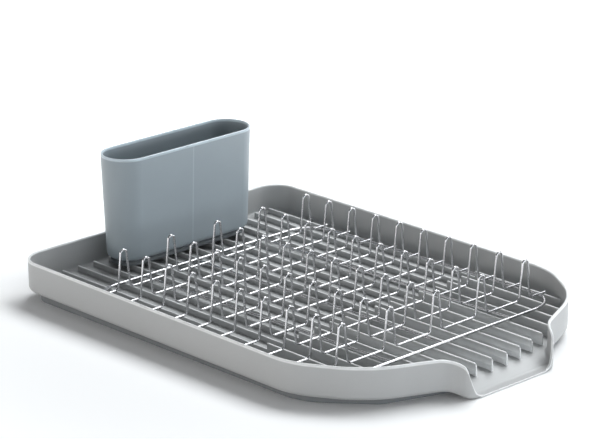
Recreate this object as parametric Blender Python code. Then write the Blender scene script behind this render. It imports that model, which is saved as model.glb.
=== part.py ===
"""Countertop dish drainer: a drip tray with a pouring spout on a base ring, a chrome
wire rack that lifts out, and a cutlery cup with its foot that lifts out.

Lengths are metres. +X runs along the tray to the spout, +Y to the back, +Z up.
The origin is the middle of the tray on the worktop.
"""
import math

import bmesh
import bpy
from mathutils import Matrix, Vector

# Tray
TRAY_LENGTH = 0.4785
TRAY_WIDTH = 0.338
TRAY_FALL = 0.0074            # how much lower per length towards the spout
RIM_Z = 0.0387                # at the middle of the tray
FLOOR_Z = 0.0111
BOTTOM_Z = 0.0077
WALL = 0.0022
RIM_ROUND = 0.0008
FLOOR_FILLET = 0.003
BOTTOM_ROUND = 0.006
BOTTOM_ROUND_LESS = 0.5       # share of it that is lost at the lip
# Outline of one side: corner x over half length, y over half width, radius over half length
OUTLINE_SHARES = [(-1.0, 1.0, 0.1087), (0.5534, 1.0, 0.308), (0.8, 0.7834, 0.413)]
ARC_STEPS = [7, 6, 7]
# Falling rim of the spout's cheek: x over half length, y over half width, share of the drop
CHEEK_SHARES = [(0.9095, 0.4266, 0.008), (0.9220, 0.3941, 0.040), (0.9434, 0.3645, 0.088),
                (0.9626, 0.3467, 0.145), (0.9747, 0.3361, 0.207), (0.9818, 0.3266, 0.315),
                (0.9873, 0.3166, 0.486), (0.9914, 0.3053, 0.656), (0.9948, 0.2917, 0.815),
                (0.9973, 0.2757, 0.923), (1.0, 0.2515, 1.0)]
SPOUT_START_SHARE = 0.9062    # x over half length where the floor starts to fall
LIP_TOP = 0.0019
LIP_BOTTOM = 0.0005
LIP_RISE = 0.0006             # wall left above the lip at its ends

# Ribs on the tray's floor
RIB_PITCH = 0.0193
RIB_SHIFT = 0.0032
RIB_THICK = 0.0018
RIB_LOW = 0.0056              # height above the floor at the closed end
RIB_STEP = 0.0058             # how much higher the ribs are nearer the spout
RIB_END_GAP = 0.0082          # from the closed end's wall to the ribs
RIB_STEP_SHARE = 0.235        # x over half length where the ribs step up
RIB_FREE_SHARE = 0.9141       # x over half length where the middle ribs end at the spout
RIB_BOW = 0.25                # radius of the arc that the free ends lie on
CHEEK_HALF_SHARE = 0.426      # y over half width within which ribs end free
RIB_SINK = 0.001
RIB_ROUND = 0.003

# Base ring
RING_INSET = 0.0129
RING_THICK = 0.004
RING_GAP = 0.0003
RING_LEAST_R = 0.002
RING_CORNER_SHARES = [(-1.0, 1.0, 0.1087), (0.5916, 1.0, 0.2842), (0.8257, 0.7083, 0.1254),
                      (0.9264, 0.3172, 0.105)]

# Wire rack. It lies between the cup and the spout. Its front and back runs, and its long
# wires, lie between ribs: the numbers are counted in ribs from the front one.
RACK_CUP_GAP = 0.0219         # from the cup's straight side at its rim
RACK_SPOUT_GAP = 0.0715       # from the lip
RACK_FRONT_RIB = -0.324
RACK_BACK_RIB = 14.615
LONG_WIRE_RIBS = [3.13, 6.54, 11.13]
RACK_CORNER = 0.033
FRAME_WIRE = 0.0029           # wire diameters
TINE_WIRE = 0.0022
LONG_WIRE = 0.0024
REST_GAP = 0.0003
COLUMNS = 10
COLUMN_PITCH_SHARE = 0.0977   # of the rack's length
ROWS = 5
ROW_PITCH_SHARE = 0.204       # of the rack's width
TINE_HEIGHT = 0.0393
TINE_FOOT = 0.0148            # legs apart at the foot
TINE_HEAD = 0.0072            # legs apart below the top loop
FOOT_BEND = 0.0040
WIRE_END = 0.0022             # tine wires pass the frame by this much

# Cutlery cup and its foot
CUP_CLEARANCE = 0.0058        # from the cup's rim to the closed end's wall
CUP_Y = 0.0049
CUP_STRAIGHT = 0.1263
CUP_TOP_R = 0.0251
CUP_BOTTOM_R = 0.0212
CUP_HEIGHT = 0.1085           # foot and cup together
CUP_WALL = 0.0020
CUP_FLOOR = 0.0025
CUP_ROUND = 0.0050
CUP_RIM_ROUND = 0.0007
DIVIDER = 0.0018
DIVIDER_DROP = 0.018
FOOT_HEIGHT = 0.0048
FOOT_R = 0.0180
FOOT_NECK_R = 0.0165
FOOT_NECK = 0.0012

# Places that follow from the sizes
HALF_L = TRAY_LENGTH / 2
HALF_W = TRAY_WIDTH / 2
CHEEK_START = CHEEK_SHARES[0][0] * HALF_L
SPOUT_START = SPOUT_START_SHARE * HALF_L
RIB_COUNT = int((TRAY_WIDTH - 2 * WALL) / RIB_PITCH) - 1
CUP_X = -HALF_L + WALL + CUP_CLEARANCE + CUP_TOP_R
RACK_LEFT = CUP_X + CUP_TOP_R + RACK_CUP_GAP
RACK_RIGHT = HALF_L - RACK_SPOUT_GAP
RACK_LENGTH = RACK_RIGHT - RACK_LEFT
RACK_X = (RACK_LEFT + RACK_RIGHT) / 2


def clean_scene():
    for obj in list(bpy.data.objects):
        bpy.data.objects.remove(obj, do_unlink=True)


def material(name, colour, metallic, roughness):
    mat = bpy.data.materials.new(name)
    mat.use_nodes = True
    shader = mat.node_tree.nodes["Principled BSDF"]
    shader.inputs["Base Color"].default_value = (*colour, 1.0)
    shader.inputs["Metallic"].default_value = metallic
    shader.inputs["Roughness"].default_value = roughness
    mat.diffuse_color = (*colour, 1.0)
    return mat


def collection(name):
    found = bpy.data.collections.get(name)
    if found is None:
        found = bpy.data.collections.new(name)
        bpy.context.scene.collection.children.link(found)
    return found


def place(obj, mat, parent=None):
    collection("dish_drainer").objects.link(obj)
    obj.data.materials.append(mat)
    if parent is not None:
        obj.parent = parent
        obj.matrix_parent_inverse = parent.matrix_world.inverted()
    return obj


def axis_empty(name, spot):
    """An empty on the line that a piece lifts along, which carries its objects."""
    empty = bpy.data.objects.new(name, None)
    empty.location = spot
    collection("dish_drainer").objects.link(empty)
    bpy.context.view_layer.update()
    return empty


def mesh_from(name, bm):
    bmesh.ops.recalc_face_normals(bm, faces=bm.faces)
    mesh = bpy.data.meshes.new(name)
    bm.to_mesh(mesh)
    bm.free()
    return bpy.data.objects.new(name, mesh)


def wire(name, points, diameter, mat, parent, closed=False):
    curve = bpy.data.curves.new(name, "CURVE")
    curve.dimensions = "3D"
    curve.bevel_depth = diameter / 2
    curve.bevel_resolution = 2
    curve.use_fill_caps = True
    line = curve.splines.new("POLY")
    line.points.add(len(points) - 1)
    for point, place_at in zip(line.points, points):
        point.co = (*place_at, 1.0)
    line.use_cyclic_u = closed
    return place(bpy.data.objects.new(name, curve), mat, parent)


def fillet_path(corners, steps):
    """Points along corners given as (x, y, radius), each rounded with an arc."""
    path = []
    for i, (x, y, radius) in enumerate(corners):
        here = Vector((x, y))
        if radius <= 0 or i == 0 or i == len(corners) - 1:
            path.append(here)
            continue
        before = (Vector(corners[i - 1][:2]) - here).normalized()
        after = (Vector(corners[i + 1][:2]) - here).normalized()
        half = before.angle(after) / 2
        reach = radius / math.tan(half)
        start, end = here + before * reach, here + after * reach
        centre = here + (before + after).normalized() * (radius / math.sin(half))
        turn = (start - centre).angle_signed(end - centre)
        for k in range(steps[i] + 1):
            share = k / steps[i]
            arm = (start - centre).copy()
            arm.rotate(turned(-turn * share))
            path.append(centre + arm)
    return path


def turned(angle):
    return Matrix.Rotation(angle, 2)


def normals(path):
    """Unit normals pointing to the right of the way the open path runs."""
    out = []
    for i, here in enumerate(path):
        ahead = (path[min(i + 1, len(path) - 1)] - here)
        behind = (here - path[max(i - 1, 0)])
        ahead = ahead.normalized() if ahead.length > 0 else behind.normalized()
        behind = behind.normalized() if behind.length > 0 else ahead
        way = (ahead + behind).normalized()
        out.append(Vector((way.y, -way.x)) / max(way.dot(ahead), 0.5))
    return out


def rib_y(number):
    return RIB_SHIFT + (number - (RIB_COUNT - 1) / 2) * RIB_PITCH


def fall(x):
    return -TRAY_FALL * x


def smooth(share):
    share = min(max(share, 0.0), 1.0)
    return share * share * (3 - 2 * share)


def spout_share(x):
    return smooth((x - SPOUT_START) / (HALF_L - SPOUT_START))


def floor_z(x):
    end = FLOOR_Z + fall(HALF_L)
    return FLOOR_Z + fall(x) - (end - LIP_TOP) * spout_share(x)


def bottom_z(x):
    end = BOTTOM_Z + fall(HALF_L)
    return BOTTOM_Z + fall(x) - (end - LIP_BOTTOM) * spout_share(x)


def rim_z(x):
    top = RIM_Z + fall(x)
    if x <= CHEEK_START:
        return top
    drop = 1.0
    for (x0, _, drop0), (x1, _, drop1) in zip(CHEEK_SHARES, CHEEK_SHARES[1:]):
        if x <= x1 * HALF_L + 1e-7:
            drop = drop0 + (drop1 - drop0) * (x / HALF_L - x0) / (x1 - x0)
            break
    low = RIM_Z + fall(CHEEK_START)
    return max(low - drop * (low - LIP_TOP), floor_z(x) + LIP_RISE)


def front_half_path():
    """The tray's outer edge from the middle of the closed end to the lip, at the front."""
    cheek = [Vector((x * HALF_L, -y * HALF_W)) for x, y, _ in CHEEK_SHARES]
    corners = [(-HALF_L, 0.0, 0.0)]
    corners += [(x * HALF_L, -y * HALF_W, r * HALF_L) for x, y, r in OUTLINE_SHARES]
    corners.append((cheek[0].x, cheek[0].y, 0.0))
    return fillet_path(corners, [0] + ARC_STEPS + [0])[1:] + cheek[1:]


def tray_profile(x):
    """Inset and height of the wall's section, from the bottom round the rim to the floor."""
    low, top, floor = bottom_z(x), rim_z(x), floor_z(x)
    bottom_r = BOTTOM_ROUND * (1 - BOTTOM_ROUND_LESS * spout_share(x))
    bottom_r = min(bottom_r, (top - low) * 0.45)
    fillet = min(FLOOR_FILLET, (top - floor) * 0.45)
    rim_r = min(RIM_ROUND, (top - floor) * 0.4)
    points = []
    for angle in (90, 60, 30, 0):
        a = math.radians(angle)
        points.append((bottom_r * (1 - math.cos(a)), low + bottom_r * (1 - math.sin(a))))
    points += [(0.0, top - rim_r), (rim_r * 0.3, top - rim_r * 0.3), (rim_r, top),
               (WALL - rim_r, top), (WALL - rim_r * 0.3, top - rim_r * 0.3),
               (WALL, top - rim_r)]
    for angle in (0, 45, 90):
        a = math.radians(angle)
        points.append((WALL + fillet * (1 - math.cos(a)), floor + fillet * (1 - math.sin(a))))
    return points


def build_tray(mat):
    half = front_half_path()
    full = [Vector((p.x, -p.y)) for p in reversed(half)] + half
    # the path runs from the lip at the back round the closed end to the lip in front
    inward = [-n for n in normals(full)]
    centre = Vector((0.0, 0.0))
    if inward[len(half)].dot(centre - full[len(half)]) < 0:
        inward = [-n for n in inward]
    for i in (0, len(full) - 1):
        side = 1 if full[i].y < 0 else -1
        inward[i] = Vector((0.0, side))
    bm = bmesh.new()
    rings = []
    for point, normal in zip(full, inward):
        ring = []
        for inset, z in tray_profile(point.x):
            spot = point + normal * inset
            ring.append(bm.verts.new((min(spot.x, HALF_L), spot.y, z)))
        rings.append(ring)
    count = len(rings)
    for a, b in zip(rings, rings[1:]):
        for j in range(len(a) - 1):
            bm.faces.new((a[j], b[j], b[j + 1], a[j + 1]))
    for i in range(count // 2 - 1):
        a, b = rings[i], rings[i + 1]
        c, d = rings[count - 2 - i], rings[count - 1 - i]
        bm.faces.new((a[-1], b[-1], c[-1], d[-1]))
        bm.faces.new((a[0], d[0], c[0], b[0]))
    first, last = rings[0], rings[-1]
    bm.faces.new(first)
    bm.faces.new(list(reversed(last)))
    bm.faces.new((first[0], first[-1], last[-1], last[0]))
    tray = mesh_from("tray", bm)
    place(tray, mat)
    cut(tray, build_ribs(half), "UNION")
    return tray


def wall_middle_x(half, y):
    """x of the middle of the wall on the spout's side at a distance y from the middle."""
    reach = abs(y)
    for a, b in zip(half, half[1:]):
        if a.x > 0 and -b.y <= reach <= -a.y and a.y != b.y:
            share = (reach + a.y) / (a.y - b.y)
            along = (b - a).normalized()
            return a.x + (b.x - a.x) * share - WALL / 2 / max(abs(along.y), 0.3)
    return RIB_STEP_SHARE * HALF_L


def build_ribs(half):
    start = -HALF_L + WALL + RIB_END_GAP
    step_x = RIB_STEP_SHARE * HALF_L
    bm = bmesh.new()
    for k in range(RIB_COUNT):
        y = rib_y(k)
        end, rounded = wall_middle_x(half, y), False
        if abs(y) < CHEEK_HALF_SHARE * HALF_W:
            end, rounded = RIB_FREE_SHARE * HALF_L - y * y / (2 * RIB_BOW), True
        outline = []
        for x, height in ((start, -RIB_SINK), (start, RIB_LOW), (step_x, RIB_LOW),
                          (step_x, RIB_LOW + RIB_STEP)):
            outline.append((x, FLOOR_Z + fall(x) + height))
        top = FLOOR_Z + fall(end) + RIB_LOW + RIB_STEP
        if rounded:
            outline += [(end - RIB_ROUND, top), (end - RIB_ROUND * 0.3, top - RIB_ROUND * 0.3),
                        (end, top - RIB_ROUND)]
        else:
            outline.append((end, top))
        outline.append((end, FLOOR_Z + fall(end) - RIB_SINK))
        sides = []
        for side in (-1, 1):
            sides.append([bm.verts.new((x, y + side * RIB_THICK / 2, z)) for x, z in outline])
        bm.faces.new(sides[0])
        bm.faces.new(list(reversed(sides[1])))
        for j in range(len(outline)):
            n = (j + 1) % len(outline)
            bm.faces.new((sides[0][j], sides[1][j], sides[1][n], sides[0][n]))
    return mesh_from("tray_ribs", bm)


def cut(obj, tool, how):
    collection("dish_drainer_cutters").objects.link(tool)
    tool.hide_render = True
    tool.display_type = "WIRE"
    change = obj.modifiers.new(tool.name, "BOOLEAN")
    change.operation = how
    change.solver = "EXACT"
    change.object = tool


def offset_corners(corners, inset):
    """Moves each side of a closed polygon of (x, y, radius) inward by inset."""
    count = len(corners)
    lines = []
    for i in range(count):
        a, b = Vector(corners[i][:2]), Vector(corners[(i + 1) % count][:2])
        way = (b - a).normalized()
        normal = Vector((-way.y, way.x))
        lines.append((a + normal * inset, way))
    out = []
    for i in range(count):
        (p, u), (q, v) = lines[i - 1], lines[i]
        across = u.x * v.y - u.y * v.x
        t = ((q - p).x * v.y - (q - p).y * v.x) / across
        spot = p + u * t
        out.append((spot.x, spot.y, max(corners[i][2] - inset, RING_LEAST_R)))
    return out


def closed_rounded(corners, steps):
    count = len(corners)
    path = []
    for i in range(count):
        trio = [corners[i - 1], corners[i], corners[(i + 1) % count]]
        path += fillet_path(trio, [0, steps, 0])[1:-1]
    return path


def build_base_ring(mat):
    front = [(x * HALF_L, -y * HALF_W, r * HALF_L) for x, y, r in RING_CORNER_SHARES]
    back = [(x, -y, r) for x, y, r in reversed(front)]
    outer = closed_rounded(offset_corners(front + back, RING_INSET), 5)
    inner = closed_rounded(offset_corners(front + back, RING_INSET + RING_THICK), 5)
    bm = bmesh.new()
    loops = []
    for path, raised in ((outer, False), (outer, True), (inner, True), (inner, False)):
        loops.append([bm.verts.new((p.x, p.y, bottom_z(p.x) - RING_GAP if raised else 0.0))
                      for p in path])
    for a, b in zip(loops, loops[1:] + loops[:1]):
        for j in range(len(a)):
            n = (j + 1) % len(a)
            bm.faces.new((a[j], a[n], b[n], b[j]))
    return place(mesh_from("base_ring", bm), mat)


def rib_top(x, stepped):
    return FLOOR_Z + fall(x) + RIB_LOW + (RIB_STEP if stepped else 0.0)


def rack_z(x):
    """Middle height of the frame wire. It rests on the low ribs at the closed end, and on
    the high ribs where its corners begin at the spout's end."""
    last = RACK_RIGHT - RACK_CORNER
    low, high = rib_top(RACK_LEFT, False), rib_top(last, True)
    share = (x - RACK_LEFT) / (last - RACK_LEFT)
    return low + (high - low) * share + FRAME_WIRE / 2 + REST_GAP


def build_rack(mat):
    front, back = rib_y(RACK_FRONT_RIB), rib_y(RACK_BACK_RIB)
    holder = axis_empty("rack_lift_axis", (RACK_X, (front + back) / 2, rack_z(RACK_X)))
    frame = [(RACK_LEFT, front, RACK_CORNER), (RACK_RIGHT, front, RACK_CORNER),
             (RACK_RIGHT, back, RACK_CORNER), (RACK_LEFT, back, RACK_CORNER)]
    loop = [(p.x, p.y, rack_z(p.x)) for p in closed_rounded(frame, 6)]
    wire("rack_frame", loop, FRAME_WIRE, mat("rack_frame"), holder, closed=True)

    tine_lift = FRAME_WIRE / 2 + TINE_WIRE / 2 + REST_GAP
    for k in range(COLUMNS):
        x = RACK_X + (k - (COLUMNS - 1) / 2) * COLUMN_PITCH_SHARE * RACK_LENGTH
        z = rack_z(x) + tine_lift
        name = f"tine_wire_{k + 1:02d}"
        points = [(x, y, z + up) for y, up in tine_path(front, back)]
        wire(name, points, TINE_WIRE, mat(name), holder)

    long_z = tine_lift - TINE_WIRE / 2 - LONG_WIRE / 2 - REST_GAP
    inset = (FRAME_WIRE + REST_GAP) / 2 + REST_GAP / 2
    for k, rib in enumerate(LONG_WIRE_RIBS):
        ends = (RACK_LEFT + inset, RACK_RIGHT - inset)
        points = [(x, rib_y(rib), rack_z(x) + long_z) for x in ends]
        name = f"rack_long_wire_{k + 1}"
        wire(name, points, LONG_WIRE, mat(name), holder)


def tine_path(front, back):
    """(y, height) points of one tine wire, from front to back, with its tapered loops."""
    points = [(front - WIRE_END, 0.0)]
    head_r = TINE_HEAD / 2
    top = TINE_HEIGHT - TINE_WIRE / 2
    for row in range(ROWS):
        middle = (front + back) / 2 + (row - (ROWS - 1) / 2) * ROW_PITCH_SHARE * (back - front)
        foot, head = Vector((-TINE_FOOT / 2, 0.0)), Vector((-head_r, top - head_r))
        leg = (head - foot).normalized()
        left = [(foot.x - FOOT_BEND, 0.0), (foot.x - FOOT_BEND * 0.3, FOOT_BEND * 0.25),
                (foot.x + leg.x * FOOT_BEND, leg.y * FOOT_BEND)]
        arc = []
        for k in range(6):
            a = math.pi * (1 - k / 5)
            arc.append((head_r * math.cos(a), top - head_r + head_r * math.sin(a)))
        right = [(-y, z) for y, z in reversed(left)]
        points += [(middle + y, z) for y, z in left + arc + right]
    points.append((back + WIRE_END, 0.0))
    return points


def stadium(half_straight, radius, steps=10):
    points = []
    for end in (1, -1):
        for k in range(steps + 1):
            a = math.pi * k / steps
            points.append(Vector((end * radius * math.cos(a),
                                  end * (half_straight + radius * math.sin(a)))))
    return points


def loft(name, levels, shape):
    """A solid through levels of (z, radius), shape(radius) giving each level's points."""
    bm = bmesh.new()
    loops = []
    for z, radius in levels:
        loops.append([bm.verts.new((CUP_X + p.x, CUP_Y + p.y, z)) for p in shape(radius)])
    for a, b in zip(loops, loops[1:]):
        for j in range(len(a)):
            n = (j + 1) % len(a)
            bm.faces.new((a[j], a[n], b[n], b[j]))
    bm.faces.new(list(reversed(loops[0])))
    bm.faces.new(loops[-1])
    return mesh_from(name, bm)


def build_cup(mat, foot_mat):
    ground = rib_top(CUP_X - CUP_TOP_R, False) + REST_GAP
    low = ground + FOOT_HEIGHT + REST_GAP
    top = ground + CUP_HEIGHT

    def side_r(z):
        return CUP_BOTTOM_R + (CUP_TOP_R - CUP_BOTTOM_R) * (z - low) / (top - low)

    def whole(radius):
        return stadium(CUP_STRAIGHT / 2, radius)

    levels = []
    for angle in (90, 60, 30, 0):
        a = math.radians(angle)
        z = low + CUP_ROUND * (1 - math.sin(a))
        levels.append((z, side_r(z) - CUP_ROUND * (1 - math.cos(a))))
    levels += [(top - CUP_RIM_ROUND, side_r(top)), (top, side_r(top) - CUP_RIM_ROUND)]
    holder = axis_empty("cup_lift_axis", (CUP_X, CUP_Y, ground))
    cup = place(loft("cup", levels, whole), mat, holder)

    inner_low = low + CUP_FLOOR
    inner_r = CUP_ROUND - CUP_WALL
    hollow_levels = []
    for angle in (90, 45, 0):
        a = math.radians(angle)
        z = inner_low + inner_r * (1 - math.sin(a))
        hollow_levels.append((z, side_r(z) - CUP_WALL - inner_r * (1 - math.cos(a))))
    above = top + CUP_ROUND
    hollow_levels.append((above, side_r(above) - CUP_WALL))
    cut(cup, loft("cup_hollow", hollow_levels, whole), "DIFFERENCE")

    def slab(radius):
        half = DIVIDER / 2
        return [Vector((radius, -half)), Vector((radius, half)),
                Vector((-radius, half)), Vector((-radius, -half))]

    sunk = inner_low - CUP_FLOOR / 2
    split = top - DIVIDER_DROP
    divider = loft("cup_divider", [(sunk, side_r(sunk) - CUP_WALL / 2 - inner_r / 2),
                                   (inner_low + inner_r, side_r(sunk) - CUP_WALL / 2),
                                   (split, side_r(split) - CUP_WALL / 2)], slab)
    cut(cup, divider, "UNION")

    foot_levels = [(ground, FOOT_R - CUP_RIM_ROUND), (ground + CUP_RIM_ROUND, FOOT_R),
                   (ground + FOOT_HEIGHT - FOOT_NECK, FOOT_R),
                   (ground + FOOT_HEIGHT - FOOT_NECK, FOOT_NECK_R),
                   (ground + FOOT_HEIGHT, FOOT_NECK_R)]
    place(loft("cup_foot", foot_levels, whole), foot_mat, holder)


def main():
    clean_scene()
    build_tray(material("tray", (0.40, 0.41, 0.41), 0.0, 0.4))
    build_base_ring(material("base_ring", (0.16, 0.18, 0.20), 0.0, 0.6))
    build_rack(lambda name: material(name, (0.75, 0.76, 0.78), 1.0, 0.15))
    build_cup(material("cup", (0.25, 0.29, 0.33), 0.0, 0.4),
              material("cup_foot", (0.10, 0.12, 0.14), 0.0, 0.5))


main()
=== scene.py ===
"""Countertop dish drainer: the finish of its drip tray, wire rack and cutlery cup.

Lengths are metres. +X runs along the tray to the spout, +Y to the back, +Z up.
"""

import math

import bmesh
import bpy
from mathutils import Matrix, Vector


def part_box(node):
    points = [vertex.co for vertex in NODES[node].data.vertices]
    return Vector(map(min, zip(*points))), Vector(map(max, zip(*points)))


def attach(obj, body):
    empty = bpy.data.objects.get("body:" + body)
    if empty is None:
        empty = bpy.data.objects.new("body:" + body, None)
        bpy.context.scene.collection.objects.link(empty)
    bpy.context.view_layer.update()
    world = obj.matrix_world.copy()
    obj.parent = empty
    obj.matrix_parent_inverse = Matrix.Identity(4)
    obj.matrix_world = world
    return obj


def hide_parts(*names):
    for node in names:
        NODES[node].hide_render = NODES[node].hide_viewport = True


bl_info = {
    "name": "Dish drainer",
    "version": (1, 0, 0),
    "blender": (4, 5, 0),
    "location": "View3D > Sidebar > Drainer",
    "description": "Finishes a dish drainer: drip tray, wire rack and cutlery cup",
    "category": "Object",
}

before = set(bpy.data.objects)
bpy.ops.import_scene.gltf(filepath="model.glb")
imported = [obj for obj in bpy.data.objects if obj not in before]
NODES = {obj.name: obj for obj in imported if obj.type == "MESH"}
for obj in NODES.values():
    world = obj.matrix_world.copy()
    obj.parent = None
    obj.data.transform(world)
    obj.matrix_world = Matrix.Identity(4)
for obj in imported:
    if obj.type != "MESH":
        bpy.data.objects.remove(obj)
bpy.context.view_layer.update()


def middle(node):
    low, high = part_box(node)
    return (low + high) / 2


def linear(red, green, blue):
    """A colour given in 0 to 255 as seen on a screen, as linear light."""
    out = []
    for value in (red, green, blue):
        share = value / 255
        out.append(share / 12.92 if share <= 0.04045 else ((share + 0.055) / 1.055) ** 2.4)
    return tuple(out)


# Places read from the frame
TRAY_LOW, TRAY_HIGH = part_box("tray")
HALF_L, HALF_W = TRAY_HIGH.x, TRAY_HIGH.y
RACK_LOW, RACK_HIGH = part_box("rack_frame")
CUP_LOW, CUP_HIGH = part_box("cup")
FOOT_LOW, FOOT_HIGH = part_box("cup_foot")
RING_LOW, RING_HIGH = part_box("base_ring")
TINE_NODES = sorted(n for n in NODES if n.startswith("tine_wire_"))
LONG_NODES = sorted(n for n in NODES if n.startswith("rack_long_wire_"))

# The tray's section, at the middle of its length
TRAY_FALL = 0.0074
RIM_Z = 0.0387
FLOOR_Z = 0.0111
BOTTOM_Z = 0.0077
# Outline of one side: corner x over half length, y over half width, radius over half length
OUTLINE_SHARES = [(-1.0, 1.0, 0.1087), (0.5534, 1.0, 0.308), (0.8, 0.7834, 0.413)]
ARC_STEPS = [18, 18, 18]
STRAIGHT_STEP = 0.012
# Falling rim of the spout's cheek: x over half length, y over half width, share of the drop
CHEEK_SHARES = [(0.9095, 0.4266, 0.008), (0.9220, 0.3941, 0.040), (0.9434, 0.3645, 0.088),
                (0.9626, 0.3467, 0.145), (0.9747, 0.3361, 0.207), (0.9818, 0.3266, 0.315),
                (0.9873, 0.3166, 0.486), (0.9914, 0.3053, 0.656), (0.9948, 0.2917, 0.815),
                (0.9973, 0.2757, 0.923), (1.0, 0.2515, 1.0)]
CHEEK_START = CHEEK_SHARES[0][0] * HALF_L
CHEEK_STEPS = 4
SPOUT_START = 0.9062 * HALF_L
LIP_TOP = 0.0019
LIP_BOTTOM = 0.0005
LIP_RISE = 0.0006
RING_SHARES = [(-0.981, 1.0, 0.1087), (0.5916, 1.0, 0.2842), (0.8257, 0.7083, 0.1254),
               (0.9264, 0.3172, 0.105)]
RING_GAP = 0.0003
RIB_PITCH = 0.0193
RIB_SHIFT = 0.0032
RIB_COUNT = 16
RIB_START = -HALF_L + 0.0104
RIB_STEP_X = 0.235 * HALF_L
RIB_FREE = 0.9141 * HALF_L
RIB_BOW = 0.25
CHEEK_HALF = 0.426 * HALF_W
RIB_SINK = 0.001
# Vertex mark for the painted highlight along rims, rib crests, the lip and the cup's rim
EDGE_MARK = "painted_highlight_edge"
EDGE_BAND = 0.0010            # how far the painted highlight along an edge reaches, then fades
RIB_CREST = 0.0004            # depth of the marked part of a rib's crest, which carries the painted highlight
RIB_ROUND = 0.00035
RIB_END_ROUND = 0.003
RING_ROUND = 0.0008
RING_LEAST_RADIUS = 0.002
BOTTOM_ROUND_LESS = 0.5       # share of the bottom's rounding that is lost at the lip
# Largest shares of a low wall that a rounding, the rim and an edge's painted highlight band take
MOST_ROUND, MOST_RIM, MOST_BAND = 0.45, 0.4, 0.3
MITRE_LEAST = 0.5             # keeps the corners of a path's offset from running away
SLANT_LEAST = 0.3             # the same where a rib meets a slanting wall
SAME = 1e-5                  # places closer than this count as the same


class DrainerSizes(bpy.types.PropertyGroup):
    """Sizes of the pieces that a user would change."""

    wall: bpy.props.FloatProperty(
        name="Tray wall", description="Thickness of the tray's wall",
        default=0.0022, min=0.001, max=0.004, unit="LENGTH")
    rim_round: bpy.props.FloatProperty(
        name="Rim rounding", description="Radius along both edges of the tray's rim",
        default=0.0009, min=0.0002, max=0.001, unit="LENGTH")
    floor_fillet: bpy.props.FloatProperty(
        name="Floor fillet", description="Radius where the tray's wall meets its floor",
        default=0.003, min=0.001, max=0.008, unit="LENGTH")
    bottom_round: bpy.props.FloatProperty(
        name="Bottom rounding", description="Radius along the tray's lower outer edge",
        default=0.0045, min=0.001, max=0.008, unit="LENGTH")
    rib_thick: bpy.props.FloatProperty(
        name="Rib thickness", description="Thickness of the ribs on the tray's floor",
        default=0.0018, min=0.001, max=0.004, unit="LENGTH")
    rib_low: bpy.props.FloatProperty(
        name="Rib height", description="Height of the ribs at the closed end",
        default=0.0056, min=0.002, max=0.010, unit="LENGTH")
    rib_step: bpy.props.FloatProperty(
        name="Rib step", description="How much higher the ribs are nearer the spout",
        default=0.0058, min=0.0, max=0.010, unit="LENGTH")
    ring_inset: bpy.props.FloatProperty(
        name="Base inset", description="From the tray's outer wall to the base band",
        default=0.0085, min=0.005, max=0.03, unit="LENGTH")
    ring_thick: bpy.props.FloatProperty(
        name="Base thickness", description="Thickness of the base band",
        default=0.004, min=0.002, max=0.008, unit="LENGTH")
    frame_wire: bpy.props.FloatProperty(
        name="Frame wire", description="Diameter of the rack's outer wire",
        default=0.0029, min=0.002, max=0.005, unit="LENGTH")
    tine_wire: bpy.props.FloatProperty(
        name="Tine wire", description="Diameter of the wires bent up into tines",
        default=0.0022, min=0.001, max=0.004, unit="LENGTH")
    long_wire: bpy.props.FloatProperty(
        name="Long wire", description="Diameter of the straight wires along the rack",
        default=0.0024, min=0.001, max=0.004, unit="LENGTH")
    cup_wall: bpy.props.FloatProperty(
        name="Cup wall", description="Thickness of the cutlery cup's wall",
        default=0.0020, min=0.001, max=0.004, unit="LENGTH")
    divider_drop: bpy.props.FloatProperty(
        name="Divider drop", description="From the cup's rim down to its divider",
        default=0.018, min=0.0, max=0.05, unit="LENGTH")


class DrainerColours(bpy.types.PropertyGroup):
    """Colours of the finishes, as linear light."""

    tray: bpy.props.FloatVectorProperty(
        name="Tray", description="Moulded plastic of the drip tray",
        subtype="COLOR", size=3, default=linear(177, 178, 178), min=0, max=1)
    base: bpy.props.FloatVectorProperty(
        name="Base band", description="Soft band that the tray stands on",
        subtype="COLOR", size=3, default=linear(122, 125, 127), min=0, max=1)
    cup: bpy.props.FloatVectorProperty(
        name="Cup", description="Moulded plastic of the cutlery cup",
        subtype="COLOR", size=3, default=linear(147, 157, 163), min=0, max=1)
    foot: bpy.props.FloatVectorProperty(
        name="Cup foot", description="Foot under the cutlery cup",
        subtype="COLOR", size=3, default=linear(108, 113, 116), min=0, max=1)
    chrome: bpy.props.FloatVectorProperty(
        name="Chrome", description="Plated wire of the rack",
        subtype="COLOR", size=3, default=linear(200, 200, 202), min=0, max=1)


# Modelling by operators

def deselect():
    if bpy.context.object and bpy.context.object.mode != "OBJECT":
        bpy.ops.object.mode_set(mode="OBJECT")
    bpy.ops.object.select_all(action="DESELECT")


def named(name):
    """The object just added, under its own name."""
    obj = bpy.context.object
    obj.name = name
    obj.data.name = name
    return obj


def pick(obj):
    deselect()
    obj.select_set(True)
    bpy.context.view_layer.objects.active = obj


def settle(obj):
    """Puts the object's place into its mesh, so that the object sits at the origin."""
    pick(obj)
    bpy.ops.object.transform_apply(location=True, rotation=True, scale=True)
    return obj


def choose(obj, kind, test):
    """In edit mode, selects the vertices, edges or faces that pass a test, and no others."""
    bpy.ops.mesh.select_mode(type=kind)
    bpy.ops.mesh.select_all(action="DESELECT")
    bm = bmesh.from_edit_mesh(obj.data)
    found = {"VERT": bm.verts, "EDGE": bm.edges, "FACE": bm.faces}[kind]
    for item in found:
        if test(item):
            item.select_set(True)
    bm.select_flush_mode()
    bmesh.update_edit_mesh(obj.data)


def edit(obj):
    pick(obj)
    bpy.ops.object.mode_set(mode="EDIT")


def edit_all(obj):
    edit(obj)
    bpy.ops.mesh.select_all(action="SELECT")


def face_outward():
    """In edit mode, turns every face outward."""
    bpy.ops.mesh.select_all(action="SELECT")
    bpy.ops.mesh.normals_make_consistent(inside=False)


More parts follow.
